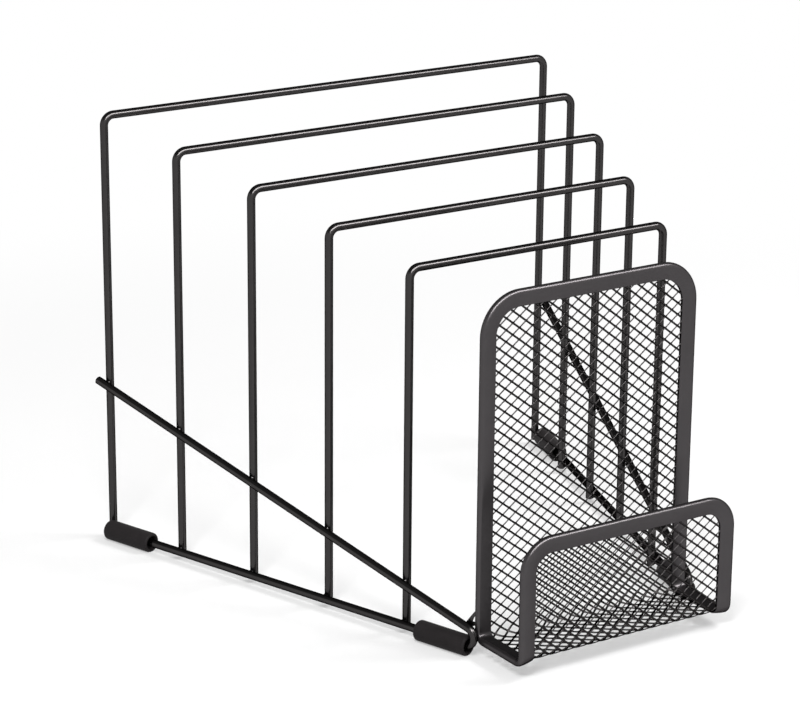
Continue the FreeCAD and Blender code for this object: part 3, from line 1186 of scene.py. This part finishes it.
@dataclass
class WeldWebs:
    """Small slotted plates that tie each brace to the pocket's rim above the hairpin bend."""

    layout: Layout
    thickness: float = 0.0012
    inset: float = 0.0014
    bend_in: float = 0.0007
    back_length: float = 0.0064
    front_short: float = 0.0004
    top_height: float = 0.0179
    foot_height: float = 0.0101
    slot_back_length: float = 0.0027
    slot_width: float = 0.0020
    slot_foot_height: float = 0.0115
    slot_length: float = 0.0030
    slot_lean: float = 0.0013
    slot_margin: float = 0.0003
    edge_points: int = 8
    edge_round: float = 0.00022
    edge_share: float = 0.12

    def loops(self) -> tuple[np.ndarray, np.ndarray]:
        """The plate's outline and its slot's, each once round, as distance along the rail and height.

        Both have four edges cut into as many even steps, so that their points pair up.

        Returns:
            Points of the outline, then points of the slot.
        """
        plan = self.layout
        tip, angle, r = plan.hairpin_tip, plan.brace_angle, plan.hairpin_radius
        back, front = tip - self.back_length, tip - self.front_short
        lift_off = (tip - r + r * math.sin(angle), r + r * math.cos(angle))
        outline = np.array([(back, plan.brace_rise(back)), (front, self.top_height),
                            (front, self.foot_height), lift_off])
        begin, low = tip - self.slot_back_length, self.slot_foot_height
        end, high = begin + self.slot_width, low + self.slot_length
        slot = np.array([(begin + self.slot_lean, high), (end + self.slot_lean, high),
                         (end, low), (begin, low)])
        slot[:, 0] = np.minimum(slot[:, 0], front - self.slot_margin)
        steps = np.linspace(0.0, 1.0, self.edge_points, endpoint=False)[None, :, None]
        outer, inner = ((loop[:, None] + steps * (np.roll(loop, -1, axis=0) - loop)[:, None]).reshape(-1, 2)
                        for loop in (outline, slot))
        return outer, inner

    def web(self, side: Side) -> Surface:
        """One plate: point (k, t) = slot(k) + t (outline(k) - slot(k)), at both faces.

        Its edges are eased by edge_round over edge_share of t. Towards its front the plate bends
        inwards by bend_in share^2, onto the rim's crown.

        Args:
            side: left or right.

        Returns:
            The plate's skin.
        """
        plan = self.layout
        outer, inner = self.loops()
        half, r = self.thickness / 2, self.edge_round
        near, far = self.edge_share, 1 - self.edge_share
        across = np.array([near, 0.0, 0.0, near, far, 1.0, 1.0, far])[None, :, None]
        lift = np.array([-half, r - half, half - r, half, half, half - r, r - half, -half])[None, :]
        flat = inner[:, None] + across * (outer - inner)[:, None]
        along, height = flat[..., 0], flat[..., 1]
        reach = self.back_length - self.front_short
        share = np.clip((along - plan.hairpin_tip + self.back_length) / reach, 0, 1)
        inward = self.inset + half + lift + self.bend_in * share ** 2
        origin = plan.side_point(side, 0.0, 0.0)
        ahead = plan.side_point(side, 1.0, 0.0) - origin
        skin = (origin + along[..., None] * ahead + height[..., None] * UP
                + inward[..., None] * plan.side_normal(side))
        return ring_skin(skin, closed=True)

    def build(self, finishes: FinishSet) -> None:
        """Make and dress both plates.

        Args:
            finishes: the rack's materials.
        """
        for side in Side:
            make_piece("pocket_web_" + side.word, [self.web(side)], finishes, Finish.WIRE,
                       ["weld_web_" + side.word])


# Studio

@dataclass(frozen=True)
class Lamp:
    """A soft rectangular lamp that looks at a point."""

    name: str
    place: Place
    aim: Place
    size: tuple[float, float]
    power: float
    lights_gloss: bool = True
    lights_matte: bool = True


def looking(place: Place, aim: Place, roll: float = 0.0) -> Matrix:
    """Pose of a camera or lamp that looks at a point.

    Args:
        place: where it stands.
        aim: the point.
        roll: how far it is turned about its line of sight, in radians.

    Returns:
        Its matrix in the world.
    """
    back = unit(np.array(place) - np.array(aim))
    level = unit(np.cross(UP, back))
    above = np.cross(back, level)
    cosine, sine = math.cos(roll), math.sin(roll)
    pose = np.eye(4)
    pose[:3] = np.stack([level * cosine + above * sine, above * cosine - level * sine, back, place], axis=1)
    return Matrix(pose.tolist())


@dataclass
class Studio:
    """Camera, lamps, floor and world."""

    camera_place: Place = (-0.76225, -1.10280, 0.54013)
    camera_aim: Place = (-0.05439, -0.02005, 0.12039)
    camera_roll: float = math.radians(0.462)
    lens: float = 130.795
    sensor_width: float = 36.0
    sight: float = 100.0
    floor_half: float = 14.0
    diffuse_world: float = 0.45
    ceiling: float = 0.15
    ceiling_start: float = 0.30
    ceiling_full: float = 0.60
    lamps: tuple[Lamp, ...] = (
        Lamp("left_softbox", (-0.62, -0.60, 1.05), (0.0, 0.0, 0.0), (0.38, 0.38), 9.4, lights_gloss=False),
        Lamp("right_softbox", (0.72, -0.30, 1.10), (0.0, 0.0, 0.0), (0.45, 0.45), 8.2, lights_gloss=False),
        Lamp("gloss_strip", (0.1, -1.06, 1.13), (0.0, 0.0, 0.1), (2.2, 0.42), 66.0, lights_matte=False),
    )

    def add_camera(self) -> None:
        """Place the camera where the photograph was taken."""
        data = bpy.data.cameras.new("photograph_view")
        data.lens = self.lens
        data.sensor_width = self.sensor_width
        data.sensor_fit = "HORIZONTAL"
        data.clip_end = self.sight
        camera = linked("photograph_view", data)
        camera.matrix_world = looking(self.camera_place, self.camera_aim, self.camera_roll)
        bpy.context.scene.camera = camera

    def add_lamp(self, lamp: Lamp) -> None:
        """Hang one lamp.

        Args:
            lamp: its sizes, place and power.
        """
        data = bpy.data.lights.new(lamp.name, "AREA")
        data.shape = "RECTANGLE"
        data.size, data.size_y = lamp.size
        data.energy = lamp.power
        made = linked(lamp.name, data)
        made.matrix_world = looking(lamp.place, lamp.aim)
        made.visible_camera = False
        made.visible_diffuse = lamp.lights_matte
        made.visible_glossy = lamp.lights_gloss

    def add_floor(self) -> None:
        """Lay the floor on which the sleeves rest."""
        half = self.floor_half
        mesh = bpy.data.meshes.new("studio_floor")
        mesh.from_pydata([(-half, -half, 0.0), (half, -half, 0.0), (half, half, 0.0), (-half, half, 0.0)],
                         [], [(0, 1, 2, 3)])
        mesh.materials.append(StudioFloor().material())
        linked("studio_floor", mesh)

    def set_world(self) -> None:
        """Fill the world: white for the eye and for gloss, with a dark ceiling that only gloss can see."""
        world = bpy.data.worlds.new("studio_world")
        bpy.context.scene.world = world
        graph = Graph(world)
        heading = graph.node("ShaderNodeTexCoord").outputs["Generated"]
        rise = graph.signal("ShaderNodeSeparateXYZ", None, {0: heading}, "Z")
        sweep = graph.signal("ShaderNodeMapRange", {"interpolation_type": "SMOOTHSTEP"}, {
            "Value": rise, "From Min": self.ceiling_start, "From Max": self.ceiling_full,
            "To Min": 1.0, "To Max": self.ceiling})
        camera, gloss = graph.ray("Camera"), graph.ray("Glossy", "Transmission")
        strength = camera + gloss * sweep + (1.0 - camera - gloss) * self.diffuse_world
        graph.finish(graph.node("ShaderNodeBackground", None,
                                {"Color": WHITE, "Strength": strength}))

    def build(self) -> None:
        """Set up everything round the rack."""
        self.add_camera()
        for lamp in self.lamps:
            self.add_lamp(lamp)
        self.add_floor()
        self.set_world()
        bpy.context.scene.view_settings.view_transform = "Standard"


def main() -> None:
    """Build the rack's looks and the studio."""
    logging.basicConfig(level=logging.INFO, format="%(name)s %(message)s")
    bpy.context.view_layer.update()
    Studio().build()
    layout = Layout()
    finishes = FinishSet()
    for kind in (Dividers, SideFrames, WeldNuggets, FootSleeves, Pocket, WeldWebs):
        LOG.info("building %s", kind.__name__)
        kind(layout).build(finishes)


if __name__ == "__main__":
    main()
